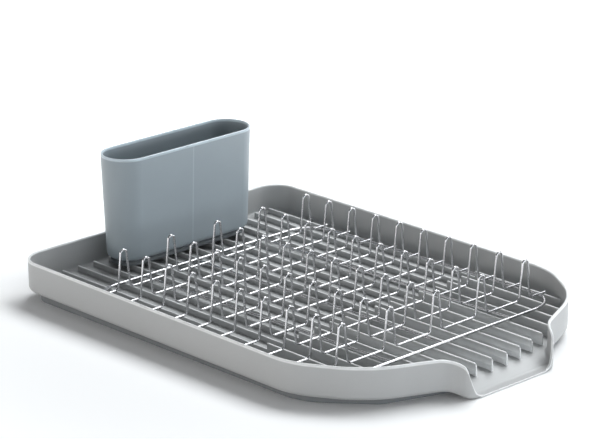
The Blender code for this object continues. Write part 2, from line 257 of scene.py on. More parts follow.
def extrude_up(height):
    bpy.ops.mesh.extrude_region_move(TRANSFORM_OT_translate={"value": (0, 0, height)})


def round_edges(radius, steps):
    bpy.ops.mesh.bevel(offset=radius, segments=steps, affect="EDGES")


def sharp(edge, degrees=40):
    return edge.calc_face_angle(0) > math.radians(degrees)


def done():
    bpy.ops.object.mode_set(mode="OBJECT")


def smooth(obj, degrees):
    pick(obj)
    bpy.ops.object.shade_smooth_by_angle(angle=math.radians(degrees))
    return obj


def joined(name, pieces):
    """One object made of several."""
    pick(pieces[0])
    for piece in pieces[1:]:
        piece.select_set(True)
    bpy.ops.object.join()
    return named(name)


def mark_edges(obj, test):
    """Marks the vertices that pass a test, for the painted highlight along a piece's edges."""
    mark = obj.data.attributes.new(EDGE_MARK, "FLOAT", "POINT")
    for v in obj.data.vertices:
        mark.data[v.index].value = 1.0 if test(v.co) else 0.0


def cut_level(obj, z):
    """Cuts a level ring into a piece, so that the painted highlight along a marked edge stays
    narrow.
    """
    edit_all(obj)
    bpy.ops.mesh.bisect(plane_co=(0, 0, z), plane_no=(0, 0, 1))
    done()


def finish_piece(obj, body, slot, material, *replaced):
    """Gives a piece its finish and puts it on its body."""
    obj.data.materials.clear()
    obj.data.materials.append(material)
    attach(obj, body)
    if replaced:
        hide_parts(*replaced)
    return obj


def drawn_path(name, points):
    """A chain of edges, drawn out vertex by vertex."""
    deselect()
    bpy.ops.mesh.primitive_plane_add(size=0.01, location=points[0])
    obj = named(name)
    edit_all(obj)
    bpy.ops.mesh.merge(type="CENTER")
    for before, after in zip(points, points[1:]):
        step = Vector(after) - Vector(before)
        bpy.ops.mesh.extrude_vertices_move(TRANSFORM_OT_translate={"value": step})
    done()
    return settle(obj)


def round_corners(obj, test, reach, steps):
    """Rounds the vertices that pass a test, each over a length of its edges."""
    edit(obj)
    choose(obj, "VERT", test)
    bpy.ops.mesh.bevel(offset=reach, offset_type="OFFSET", segments=steps, affect="VERTICES",
                       profile=0.5, clamp_overlap=True)
    bpy.ops.mesh.select_all(action="SELECT")
    bpy.ops.mesh.remove_doubles(threshold=2 * SAME)
    done()


def wire_from(obj, diameter, sides=6):
    """Turns a chain of edges into a round wire."""
    pick(obj)
    bpy.ops.object.convert(target="CURVE")
    curve = bpy.context.object.data
    curve.bevel_depth = diameter / 2
    curve.bevel_resolution = sides
    curve.use_fill_caps = True
    bpy.ops.object.convert(target="MESH")
    made = bpy.context.object
    edit_all(made)
    bpy.ops.mesh.remove_doubles(threshold=SAME)
    done()
    made.data.name = made.name
    return smooth(made, 50)


# Shader groups that several finishes share

def feed(tree, made, inputs):
    """Gives each named input of a node its value, or the socket that feeds it."""
    for key, value in inputs.items():
        if isinstance(value, bpy.types.NodeSocket):
            tree.links.new(value, made.inputs[key])
        else:
            made.inputs[key].default_value = value


def node(tree, kind, inputs=None, **settings):
    made = tree.nodes.new(kind)
    for key, value in settings.items():
        setattr(made, key, value)
    feed(tree, made, inputs or {})
    return made


def object_place(tree):
    return node(tree, "ShaderNodeTexCoord").outputs["Object"]


def maths(tree, operation, *values):
    return node(tree, "ShaderNodeMath", dict(enumerate(values)), operation=operation).outputs[0]


def mixed(tree, factor, first, second, kind="RGBA", blend="MIX"):
    """A Mix node of two values or sockets. Returns its result."""
    a, b, result = {"FLOAT": (2, 3, 0), "RGBA": (6, 7, 2)}[kind]
    made = node(tree, "ShaderNodeMix", {0: factor, a: first, b: second}, data_type=kind,
                blend_type=blend)
    return made.outputs[result]


def group_with(name, inputs, outputs):
    """A new group of shader nodes, its inputs given with their values."""
    tree = bpy.data.node_groups.new(name, "ShaderNodeTree")
    for label, value in inputs.items():
        socket = tree.interface.new_socket(name=label, in_out="INPUT",
                                           socket_type="NodeSocketFloat")
        socket.default_value = value
    for label in outputs:
        tree.interface.new_socket(name=label, in_out="OUTPUT", socket_type="NodeSocketFloat")
    return tree, tree.nodes.new("NodeGroupInput"), tree.nodes.new("NodeGroupOutput")


def painted_edge_highlight_group():
    """Mask of the painted highlight: 1 along the edges marked on a piece, broken up by a soft
    noise.
    """
    tree, start, end = group_with("painted_edge_highlight", {"Amount": 1.0, "Patch Scale": 60.0}, ["Mask"])
    marked = node(tree, "ShaderNodeAttribute", attribute_name=EDGE_MARK)
    noise = node(tree, "ShaderNodeTexNoise", {
        "Vector": object_place(tree), "Scale": start.outputs["Patch Scale"], "Detail": 3.0})
    patch = node(tree, "ShaderNodeMapRange", {
        "Value": noise.outputs["Fac"], "From Min": 0.3, "From Max": 0.7, "To Min": 0.7})
    both = maths(tree, "MULTIPLY", marked.outputs["Fac"], patch.outputs["Result"])
    feed(tree, end, {"Mask": maths(tree, "MULTIPLY", both, start.outputs["Amount"])})
    return tree


def moulded_grain_group():
    """Fine spark-eroded grain of a moulded surface, as a height and as a speckle."""
    tree, start, end = group_with("moulded_grain", {"Scale": 900.0, "Softness": 0.5},
                                  ["Height", "Speckle"])
    where = {"Vector": object_place(tree), "Scale": start.outputs["Scale"]}
    fine = node(tree, "ShaderNodeTexNoise", {
        **where, "Roughness": start.outputs["Softness"], "Detail": 4.0})
    cells = node(tree, "ShaderNodeTexVoronoi", where, feature="SMOOTH_F1")
    height = mixed(tree, 0.4, fine.outputs["Fac"], cells.outputs["Distance"], "FLOAT")
    feed(tree, end, {"Height": height, "Speckle": fine.outputs["Fac"]})
    return tree


def handling_group():
    """Broad soft variation from flow in the mould and from handling, 0 to 1."""
    tree, start, end = group_with("handling", {"Scale": 12.0, "Stretch": 1.0}, ["Value"])
    stretch = node(tree, "ShaderNodeCombineXYZ", {
        "X": start.outputs["Stretch"], "Y": 1.0, "Z": 1.0})
    scaled = node(tree, "ShaderNodeVectorMath", {
        0: object_place(tree), 1: stretch.outputs["Vector"]}, operation="MULTIPLY")
    broad = node(tree, "ShaderNodeTexNoise", {
        "Vector": scaled.outputs["Vector"], "Scale": start.outputs["Scale"],
        "Detail": 5.0, "Roughness": 0.55})
    spread = node(tree, "ShaderNodeMapRange", {
        "Value": broad.outputs["Fac"], "From Min": 0.3, "From Max": 0.7})
    feed(tree, end, {"Value": spread.outputs["Result"]})
    return tree


def sink_line_group():
    """Mask of the thin upright line outside where a divider joins the wall, along which a
    highlight on the sink mark is painted.
    """
    tree, start, end = group_with("sink_line", {"Middle": 0.0, "Width": 0.001, "Side": 0.0},
                                  ["Mask"])
    split = node(tree, "ShaderNodeSeparateXYZ", {0: object_place(tree)})
    away = maths(tree, "SUBTRACT", split.outputs["Y"], start.outputs["Middle"])
    line = node(tree, "ShaderNodeMapRange", {
        "Value": maths(tree, "ABSOLUTE", away), "From Min": 0.0,
        "From Max": start.outputs["Width"], "To Min": 1.0, "To Max": 0.0})
    side = maths(tree, "GREATER_THAN", split.outputs["X"], start.outputs["Side"])
    feed(tree, end, {"Mask": maths(tree, "MULTIPLY", line.outputs["Result"], side)})
    return tree


SHARED_GROUPS = {"painted_edge_highlight": painted_edge_highlight_group, "moulded_grain": moulded_grain_group,
                 "handling": handling_group, "sink_line": sink_line_group}


def placed_group(tree, name, values):
    """A node of a shared group, which is made when it is first asked for. Returns its outputs."""
    shared = bpy.data.node_groups.get(name) or SHARED_GROUPS[name]()
    return node(tree, "ShaderNodeGroup", values, node_tree=shared).outputs


def shade(colour, factor=1.0, plus=0.0):
    """A colour made lighter or darker, with its alpha."""
    return (*[min(c * factor + plus, 1.0) for c in colour], 1.0)


def new_finish(name, colour):
    """A new material, its nodes and its shader."""
    mat = bpy.data.materials.new(name)
    mat.use_nodes = True
    mat.diffuse_color = shade(colour)
    return mat, mat.node_tree, mat.node_tree.nodes["Principled BSDF"]


def plastic(name, colour, roughness, grain_scale, grain_depth, highlight_amount, specular=0.5, line=None):
    """Satin moulded plastic: grain, soft mottling, edges painted brighter as a highlight, perhaps
    a sink line painted lighter as a highlight.
    """
    found = bpy.data.materials.get(name)
    if found:
        return found
    mat, tree, shader = new_finish(name, colour)
    grain = placed_group(tree, "moulded_grain", {"Scale": grain_scale, "Softness": 0.6})
    broad = placed_group(tree, "handling", {"Scale": 9.0, "Stretch": 0.6})["Value"]
    # Mask of the painted highlight along marked edges
    painted_highlight = placed_group(tree, "painted_edge_highlight", {"Amount": highlight_amount, "Patch Scale": 70.0})["Mask"]
    mottled = mixed(tree, broad, shade(colour, 0.955), shade(colour, 1.03))
    tint = mixed(tree, 0.05, mottled, grain["Speckle"], blend="OVERLAY")
    if line:
        # The sink mark's line is painted lighter, a painted highlight
        sink = placed_group(tree, "sink_line", line)["Mask"]
        tint = mixed(tree, sink, tint, shade(colour, 1.22))
    rough = mixed(tree, broad, roughness - 0.04, roughness + 0.05, "FLOAT")
    bump = node(tree, "ShaderNodeBump", {
        "Strength": 0.35, "Distance": grain_depth, "Height": grain["Height"]})
    # Marked edges are painted much paler, a painted highlight, with sharper gloss
    feed(tree, shader, {
        "Base Color": mixed(tree, painted_highlight, tint, shade(colour, 1.85, 0.02)),
        "Roughness": mixed(tree, painted_highlight, rough, roughness - 0.12, "FLOAT"),
        "Specular IOR Level": specular,
        "Normal": bump.outputs["Normal"]})
    return mat


def chrome(colour):
    """Bright plated wire with faint drawing marks and water spots in its gloss."""
    found = bpy.data.materials.get("bright_chrome_wire")
    if found:
        return found
    mat, tree, shader = new_finish("bright_chrome_wire", colour)
    broad = placed_group(tree, "handling", {"Scale": 45.0, "Stretch": 1.0})["Value"]
    feed(tree, shader, {
        "Metallic": 1.0,
        "Base Color": mixed(tree, broad, shade(colour, 0.86), shade(colour)),
        "Roughness": mixed(tree, broad, 0.25, 0.18, "FLOAT")})
    return mat


def tray_plastic(context):
    return plastic("tray_plastic", context.scene.drainer_colours.tray, roughness=0.42,
                   grain_scale=1400.0, grain_depth=0.00006, highlight_amount=1.0)


# Tray outline and section

def fillet_path(corners, steps):
    """Points along corners given as (x, y, radius), each rounded with an arc."""
    path = []
    for i, (x, y, radius) in enumerate(corners):
        here = Vector((x, y))
        if radius <= 0 or i in (0, len(corners) - 1):
            path.append(here)
            continue
        before = (Vector(corners[i - 1][:2]) - here).normalized()
        after = (Vector(corners[i + 1][:2]) - here).normalized()
        half = before.angle(after) / 2
        reach = radius / math.tan(half)
        start, end = here + before * reach, here + after * reach
        centre = here + (before + after).normalized() * (radius / math.sin(half))
        turn = (start - centre).angle_signed(end - centre)
        for k in range(steps[i] + 1):
            arm = (start - centre).copy()
            arm.rotate(Matrix.Rotation(-turn * k / steps[i], 2))
            path.append(centre + arm)
    return path


def closed_rounded(corners, steps):
    count = len(corners)
    path = []
    for i in range(count):
        trio = [corners[i - 1], corners[i], corners[(i + 1) % count]]
        path += fillet_path(trio, [0, steps, 0])[1:-1]
    return path


def filled_in(path, longest):
    """The path with its long straight runs divided."""
    out = [path[0]]
    for a, b in zip(path, path[1:]):
        parts = max(1, math.ceil((b - a).length / longest))
        out += [a.lerp(b, k / parts) for k in range(1, parts + 1)]
    return out


def path_normals(path):
    """Unit normals to the right of the way the open path runs."""
    out = []
    for i, here in enumerate(path):
        ahead = path[min(i + 1, len(path) - 1)] - here
        behind = here - path[max(i - 1, 0)]
        ahead = ahead.normalized() if ahead.length > 0 else behind.normalized()
        behind = behind.normalized() if behind.length > 0 else ahead
        way = (ahead + behind).normalized()
        out.append(Vector((way.y, -way.x)) / max(way.dot(ahead), MITRE_LEAST))
    return out


def eased(share):
    share = min(max(share, 0.0), 1.0)
    return share * share * (3 - 2 * share)


def fall(x):
    return -TRAY_FALL * x


def spout_share(x):
    return eased((x - SPOUT_START) / (HALF_L - SPOUT_START))


def floor_z(x):
    end = FLOOR_Z + fall(HALF_L)
    return FLOOR_Z + fall(x) - (end - LIP_TOP) * spout_share(x)


def bottom_z(x):
    end = BOTTOM_Z + fall(HALF_L)
    return BOTTOM_Z + fall(x) - (end - LIP_BOTTOM) * spout_share(x)


def smooth_through(points, steps):
    """A smooth curve from the second point through all that follow it."""
    out = []
    for i in range(1, len(points) - 1):
        before, a, b = points[i - 1:i + 2]
        after = points[min(i + 2, len(points) - 1)]
        span = (b - a).length
        leave = (b - before) * (span / (span + (a - before).length))
        arrive = (after - a) * (span / (span + (after - b).length))
        for k in range(1, steps + 1):
            t = k / steps
            out.append(a * (2 * t**3 - 3 * t**2 + 1) + leave * (t**3 - 2 * t**2 + t)
                       + b * (3 * t**2 - 2 * t**3) + arrive * (t**3 - t**2))
    return out


def front_half_rim():
    """The tray's outer edge from the closed end's middle to the lip, and its rim's height."""
    low = RIM_Z + fall(CHEEK_START)
    cheek = [Vector((x * HALF_L, -y * HALF_W, low - drop * (low - LIP_TOP)))
             for x, y, drop in CHEEK_SHARES]
    corners = [(-HALF_L, 0.0, 0.0)]
    corners += [(x * HALF_L, -y * HALF_W, r * HALF_L) for x, y, r in OUTLINE_SHARES]
    corners.append((cheek[0].x, cheek[0].y, 0.0))
    path = filled_in(fillet_path(corners, [0] + ARC_STEPS + [0])[1:], STRAIGHT_STEP)
    rim = [Vector((p.x, p.y, RIM_Z + fall(p.x))) for p in path[:-1]]
    for spot in [cheek[0]] + smooth_through(rim[-1:] + cheek, CHEEK_STEPS):
        spot.z = max(spot.z, floor_z(spot.x) + LIP_RISE)
        rim.append(spot)
    return rim


def arc_points(centre, radius, begin, finish, steps):
    """(inset, z) points of an arc between two angles in degrees."""
    out = []
    for k in range(steps + 1):
        a = math.radians(begin + (finish - begin) * k / steps)
        out.append((centre[0] + radius * math.cos(a), centre[1] + radius * math.sin(a)))
    return out


def tray_section(x, top, sizes):
    """(inset, z) points of the wall from the bottom to the floor, and which form the rim."""
    low, floor = bottom_z(x), floor_z(x)
    bottom_r = min(sizes.bottom_round * (1 - BOTTOM_ROUND_LESS * spout_share(x)),
                   (top - low) * MOST_ROUND)
    fillet = min(sizes.floor_fillet, (top - floor) * MOST_ROUND)
    rim_r = min(sizes.rim_round, (top - floor) * MOST_RIM)
    start = top - rim_r
    band = min(EDGE_BAND, (start - low - bottom_r) * MOST_BAND)
    inside = start - min(EDGE_BAND, (start - floor - fillet) / 2)
    lower = arc_points((bottom_r, low + bottom_r), bottom_r, 270, 180, 7)
    lower.append((0.0, start - 2 * band))
    rim = [(0.0, start - band)] + arc_points((rim_r, start), rim_r, 180, 90, 4)
    rim += arc_points((sizes.wall - rim_r, start), rim_r, 90, 0, 4)
    upper = [(sizes.wall, inside)]
    upper += arc_points((sizes.wall + fillet, floor + fillet), fillet, 180, 270, 6)
    return lower + rim + upper, range(len(lower), len(lower) + len(rim))


def tray_shell(sizes):
    """The tray's shell, lofted along its outline, whose section changes at the spout."""
    half = front_half_rim()
    full = [Vector((p.x, -p.y, p.z)) for p in reversed(half)] + half
    inward = [-n for n in path_normals([p.xy for p in full])]
    if inward[len(half)].dot(-full[len(half)].xy) < 0:
        inward = [-n for n in inward]
    for i in (0, len(full) - 1):
        inward[i] = Vector((0.0, 1.0 if full[i].y < 0 else -1.0))
    bm = bmesh.new()
    rings = []
    # Rim vertices get the mark for the painted highlight along the rim
    mark = bm.verts.layers.float.new(EDGE_MARK)
    for point, normal in zip(full, inward):
        ring = []
        section, rim = tray_section(point.x, point.z, sizes)
        for j, (inset, z) in enumerate(section):
            spot = point.xy + normal * inset
            ring.append(bm.verts.new((min(spot.x, HALF_L), spot.y, z)))
            ring[-1][mark] = 1.0 if j in rim else 0.0
        rings.append(ring)
    for a, b in zip(rings, rings[1:]):
        for j in range(len(a) - 1):
            bm.faces.new((a[j], b[j], b[j + 1], a[j + 1]))
    count = len(rings)
    for i in range(count // 2 - 1):
        a, b = rings[i], rings[i + 1]
        c, d = rings[count - 2 - i], rings[count - 1 - i]
        bm.faces.new((a[-1], b[-1], c[-1], d[-1]))
        bm.faces.new((a[0], d[0], c[0], b[0]))
    first, last = rings[0], rings[-1]
    bm.faces.new(first)
    bm.faces.new(list(reversed(last)))
    bm.faces.new((first[0], first[-1], last[-1], last[0]))
    bmesh.ops.recalc_face_normals(bm, faces=bm.faces)
    mesh = bpy.data.meshes.new("drip_tray")
    bm.to_mesh(mesh)
    bm.free()
    obj = bpy.data.objects.new("drip_tray", mesh)
    bpy.context.scene.collection.objects.link(obj)
    return obj


def wall_middle_x(half, y, wall):
    """x of the middle of the wall on the spout's side at a distance y from the middle."""
    reach = abs(y)
    for a, b in zip(half, half[1:]):
        if a.x > 0 and -b.y <= reach <= -a.y and a.y != b.y:
            share = (reach + a.y) / (a.y - b.y)
            along = (b - a).xy.normalized()
            return a.x + (b.x - a.x) * share - wall / 2 / max(abs(along.y), SLANT_LEAST)
    return RIB_STEP_X


def rib_y(number):
    return RIB_SHIFT + (number - (RIB_COUNT - 1) / 2) * RIB_PITCH


def one_rib(sizes, start, end, free_end):
    """One rib: a bar that is cut at its step, raised beyond it, and rounded at its end."""
    low = -RIB_SINK
    deselect()
    bpy.ops.mesh.primitive_cube_add(
        size=1, location=((start + end) / 2, 0, (low + sizes.rib_low) / 2))
    obj = named("rib")
    obj.scale = (end - start, sizes.rib_thick, sizes.rib_low - low)
    settle(obj)
    edit_all(obj)
    bpy.ops.mesh.bisect(plane_co=(RIB_STEP_X, 0, 0), plane_no=(1, 0, 0))
    top = sizes.rib_low - SAME
    choose(obj, "FACE", lambda f: f.calc_center_median().x > RIB_STEP_X
           and all(v.co.z > top for v in f.verts))
    extrude_up(sizes.rib_step)
    high = sizes.rib_low + sizes.rib_step - SAME
    if free_end:
        choose(obj, "EDGE", lambda e: all(v.co.z > high and v.co.x > end - SAME
                                          for v in e.verts))
        round_edges(RIB_END_ROUND, 8)
    choose(obj, "EDGE", lambda e: all(v.co.z > top for v in e.verts)
           and len(e.link_faces) == 2 and sharp(e, 60))
    round_edges(RIB_ROUND, 3)
    done()
    # The crests and the rounded free end get the mark for a painted highlight
    for level in (sizes.rib_low, high):
        cut_level(obj, level - RIB_CREST - EDGE_BAND / 2)
    mark_edges(obj, lambda co: co.z > (high if co.x > RIB_STEP_X else sizes.rib_low) - RIB_CREST
               or (free_end and co.x > end - RIB_CREST))
    for v in obj.data.vertices:
        v.co.z += FLOOR_Z + fall(v.co.x)
    return obj


class DRAINER_OT_tray(bpy.types.Operator):
    """Models the drip tray's shell with its spout"""

    bl_idname = "drainer.tray"
    bl_label = "Drip tray"

    def execute(self, context):
        sizes = context.scene.drainer_sizes
        tray = tray_shell(sizes)
        edit_all(tray)
        # The lip's end is cut and marked for a painted highlight along the lip
        bpy.ops.mesh.bisect(plane_co=(HALF_L - EDGE_BAND, 0, 0), plane_no=(1, 0, 0))
        done()
        mark = tray.data.attributes[EDGE_MARK]
        for v in tray.data.vertices:
            if v.co.x > HALF_L - SAME:
                mark.data[v.index].value = 1.0
        smooth(tray, 40)
        finish_piece(tray, "tray", "tray", tray_plastic(context), "tray")
        return {"FINISHED"}


class DRAINER_OT_ribs(bpy.types.Operator):
    """Models the stepped ribs on the tray's floor"""

    bl_idname = "drainer.ribs"
    bl_label = "Tray ribs"

    def execute(self, context):
        sizes = context.scene.drainer_sizes
        half = front_half_rim()
        made = []
        for k in range(RIB_COUNT):
            y = rib_y(k)
            end, free = wall_middle_x(half, y, sizes.wall), False
            if abs(y) < CHEEK_HALF:
                end, free = RIB_FREE - y * y / (2 * RIB_BOW), True
            rib = one_rib(sizes, RIB_START, end, free)
            rib.location.y = y
            made.append(settle(rib))
        ribs = smooth(joined("tray_ribs", made), 40)
        finish_piece(ribs, "tray", "tray", tray_plastic(context))
        return {"FINISHED"}


class DRAINER_OT_base(bpy.types.Operator):
    """Models the soft band that the tray stands on"""

    bl_idname = "drainer.base"
    bl_label = "Base band"

    def execute(self, context):
        sizes = context.scene.drainer_sizes
        front = [(x * HALF_L, -y * HALF_W, r * HALF_L) for x, y, r in RING_SHARES]
        back = [(x, -y, r) for x, y, r in reversed(front)]
        outline = closed_rounded(offset_corners(front + back, sizes.ring_inset), 12)
        deselect()
        bpy.ops.mesh.primitive_circle_add(vertices=len(outline), radius=HALF_W)
        ring = named("base_band")
        put_loop(ring, outline)
        edit_all(ring)
        extrude_up(RING_HIGH.z)
        face_outward()
        done()
        wall = ring.modifiers.new("wall", "SOLIDIFY")
        wall.thickness = sizes.ring_thick
        wall.offset = -1.0
        wall.use_even_offset = True
        pick(ring)
        bpy.ops.object.modifier_apply(modifier=wall.name)
        edit(ring)
        choose(ring, "EDGE", lambda e: all(v.co.z < SAME for v in e.verts) and sharp(e, 60))
        round_edges(RING_ROUND, 3)
        done()
        for v in ring.data.vertices:
            if v.co.z > RING_HIGH.z / 2:
                v.co.z = bottom_z(v.co.x) - RING_GAP
        smooth(ring, 40)
        soft = plastic("base_rubber", context.scene.drainer_colours.base, roughness=0.62,
                       grain_scale=1000.0, grain_depth=0.00008, highlight_amount=0.25, specular=0.35)
        finish_piece(ring, "tray", "base_ring", soft, "base_ring")
        return {"FINISHED"}


def put_loop(obj, path):
    """Moves a ring of vertices, in order, onto the points of a path."""
    for v, point in zip(obj.data.vertices, path):
        v.co = (point.x, point.y, 0.0)


def offset_corners(corners, inset):
    """Moves each side of a closed polygon of (x, y, radius) inward by inset."""
    count = len(corners)
    lines = []
    for i in range(count):
        a, b = Vector(corners[i][:2]), Vector(corners[(i + 1) % count][:2])
        way = (b - a).normalized()
        lines.append((a + Vector((-way.y, way.x)) * inset, way))
    out = []
    for i in range(count):
        (p, u), (q, v) = lines[i - 1], lines[i]
        across = u.x * v.y - u.y * v.x
        t = ((q - p).x * v.y - (q - p).y * v.x) / across
        spot = p + u * t
        out.append((spot.x, spot.y, max(corners[i][2] - inset, RING_LEAST_RADIUS)))
    return out


# The rack

RACK_CORNER = 0.033
TINE_ROWS = 5
ROW_PITCH_SHARE = 0.204
TINE_FOOT = 0.0148
TINE_HEAD = 0.00637           # length of the top before it is rounded
HEAD_SLACK = 5e-6             # keeps the two roundings of a top apart
FOOT_BEND = 0.0040
WIRE_END = 0.0022
WELD_RADII = (0.0013, 0.0013, 0.0007)


def rack_line(sizes):
    """Height of the middle of the frame wire at x = 0, and its rise along x."""
    radius = sizes.frame_wire / 2
    left, right = RACK_LOW.x + radius, RACK_HIGH.x - radius
    low, high = RACK_LOW.z + radius, RACK_HIGH.z - radius
    rise = (high - low) / (right - left)
    return low - rise * left, rise


def rack_z(x, sizes):
    level, rise = rack_line(sizes)
    return level + rise * x


class DRAINER_OT_rack_frame(bpy.types.Operator):
    """Models the closed wire round the rack"""

    bl_idname = "drainer.rack_frame"
    bl_label = "Rack frame"

    def execute(self, context):
        sizes = context.scene.drainer_sizes
        radius = sizes.frame_wire / 2
        centre = middle("rack_frame")
        size = RACK_HIGH - RACK_LOW
        deselect()
        bpy.ops.mesh.primitive_plane_add(size=1, location=(centre.x, centre.y, 0))
        wire = named("rack_rim_wire")
        wire.scale = (size.x - 2 * radius, size.y - 2 * radius, 1)
        settle(wire)
        edit_all(wire)
        bpy.ops.mesh.delete(type="ONLY_FACE")
        done()
        round_corners(wire, lambda v: True, RACK_CORNER, 18)
        for v in wire.data.vertices:
            v.co.z = rack_z(v.co.x, sizes)
        wire = wire_from(wire, sizes.frame_wire, 7)
        material = chrome(context.scene.drainer_colours.chrome)
        finish_piece(wire, "rack", "chrome_wire", material, "rack_frame")
        return {"FINISHED"}


class DRAINER_OT_long_wires(bpy.types.Operator):
    """Models the straight wires along the rack"""

    bl_idname = "drainer.long_wires"
    bl_label = "Long wires"

    def execute(self, context):
        sizes = context.scene.drainer_sizes
        material = chrome(context.scene.drainer_colours.chrome)
        rise = rack_line(sizes)[1]
        for cad in LONG_NODES:
            low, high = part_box(cad)
            centre = (low + high) / 2
            reach = (high.x - low.x) / 2
            ends = [(centre.x + side * reach, centre.y, centre.z + side * reach * rise)
                    for side in (-1, 1)]
            wire = wire_from(drawn_path(cad.replace("rack_long", "straight"), ends),
                             sizes.long_wire, 6)
            finish_piece(wire, "rack", "chrome_wire", material, cad)
        return {"FINISHED"}


def tine_corners(low, high, diameter):
    """(y, z) corners of one tine wire, and for each whether it is a foot, a top or an end."""
    front, back = low.y + WIRE_END, high.y - WIRE_END
    base, top = low.z + diameter / 2, high.z - diameter / 2
    out = [(low.y, base, "end")]
    for row in range(TINE_ROWS):
        mid = (front + back) / 2 + (row - (TINE_ROWS - 1) / 2) * ROW_PITCH_SHARE * (back - front)
        for side, kind in ((-1, "foot"), (-1, "top"), (1, "top"), (1, "foot")):
            width = TINE_FOOT if kind == "foot" else TINE_HEAD
            out.append((mid + side * width / 2, base if kind == "foot" else top, kind))
    out.append((high.y, base, "end"))
    return out


class DRAINER_OT_tine_wires(bpy.types.Operator):
    """Models the cross wires, each bent up into a row of tines"""

    bl_idname = "drainer.tine_wires"
    bl_label = "Tine wires"

    def execute(self, context):
        sizes = context.scene.drainer_sizes
        material = chrome(context.scene.drainer_colours.chrome)
        pattern = None
        for cad in TINE_NODES:
            low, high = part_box(cad)
            centre = (low + high) / 2
            if pattern is None:
                corners = tine_corners(low, high, sizes.tine_wire)
                chain = drawn_path("tine_pattern", [(centre.x, y, z) for y, z, _ in corners])
                base = low.z + sizes.tine_wire / 2
                top = high.z - sizes.tine_wire / 2
                round_corners(chain, lambda v: v.co.z > top - SAME,
                              TINE_HEAD / 2 - HEAD_SLACK, 9)
                feet = [y for y, _, kind in corners if kind == "foot"]
                round_corners(chain, lambda v: abs(v.co.z - base) < SAME
                              and min(abs(v.co.y - y) for y in feet) < SAME, FOOT_BEND, 7)
                pattern = wire_from(chain, sizes.tine_wire, 6)
                first = centre.copy()
                wire = pattern
            else:
                wire = pattern.copy()
                wire.data = pattern.data.copy()
                context.scene.collection.objects.link(wire)
                wire.parent = None
                wire.matrix_world = Matrix.Translation(centre - first)
                settle(wire)
            wire.name = cad.replace("tine_wire", "tine_row")
            wire.data.name = wire.name
            if wire is not pattern:
                finish_piece(wire, "rack", "chrome_wire", material, cad)
        finish_piece(pattern, "rack", "chrome_wire", material, TINE_NODES[0])
        return {"FINISHED"}


class DRAINER_OT_welds(bpy.types.Operator):
    """Models the small weld at each crossing of the rack's wires"""

    bl_idname = "drainer.welds"
    bl_label = "Rack welds"

    def execute(self, context):
        sizes = context.scene.drainer_sizes
        radius = sizes.frame_wire / 2
        runs = [RACK_LOW.y + radius, RACK_HIGH.y - radius]
        runs += [middle(cad).y for cad in LONG_NODES]
        made = []
        for cad in TINE_NODES:
            x = middle(cad).x
            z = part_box(cad)[0].z
            for y in runs:
                deselect()
                bpy.ops.mesh.primitive_ico_sphere_add(subdivisions=2, radius=1,
                                                      location=(x, y, z))
                weld = named("weld")
                weld.scale = WELD_RADII
                made.append(settle(weld))
        welds = smooth(joined("rack_welds", made), 60)
        finish_piece(welds, "rack", "chrome_wire",
                     chrome(context.scene.drainer_colours.chrome))
        return {"FINISHED"}


# The cutlery cup

CUP_BOTTOM_R = 0.0212
CUP_FLOOR = 0.0025
CUP_ROUND = 0.0050
CUP_RIM_ROUND = 0.0008
CUP_RIM_BELOW = 0.0009        # a little more than the rim's rounding
CUP_FILLET = 0.0030
CUP_DIVIDER = 0.0018
DIVIDER_ROUND = 0.0006
DIVIDER_SINK = 0.0010
SINK_WIDTH = 0.0011
FOOT_NECK = 0.0012
FOOT_NECK_INSET = 0.0015
FOOT_ROUND = 0.0004


def oval(name, radius, straight, z, centre, vertices=72):
    """A filled ring with round ends and straight sides, spread from a circle."""
    deselect()
    bpy.ops.mesh.primitive_circle_add(vertices=vertices, radius=radius, fill_type="NGON",
                                      location=(centre.x, centre.y, z))
    obj = named(name)
    for v in obj.data.vertices:
        v.co.y += math.copysign(straight / 2, v.co.y) if abs(v.co.y) > SAME else 0.0
    return settle(obj)


def spread(obj, level, inset_by, centre, straight):
    """Draws the ring of vertices at a height in or out by the same amount all round."""
    for v in obj.data.vertices:
        if abs(v.co.z - level) > SAME:
            continue
        arm = Vector((v.co.x - centre.x, v.co.y - centre.y))
        reach = straight / 2
        hub = Vector((0.0, min(max(arm.y, -reach), reach)))
        out = (arm - hub)
        out = out.normalized() * (out.length - inset_by)
        v.co.x, v.co.y = centre.x + hub.x + out.x, centre.y + hub.y + out.y


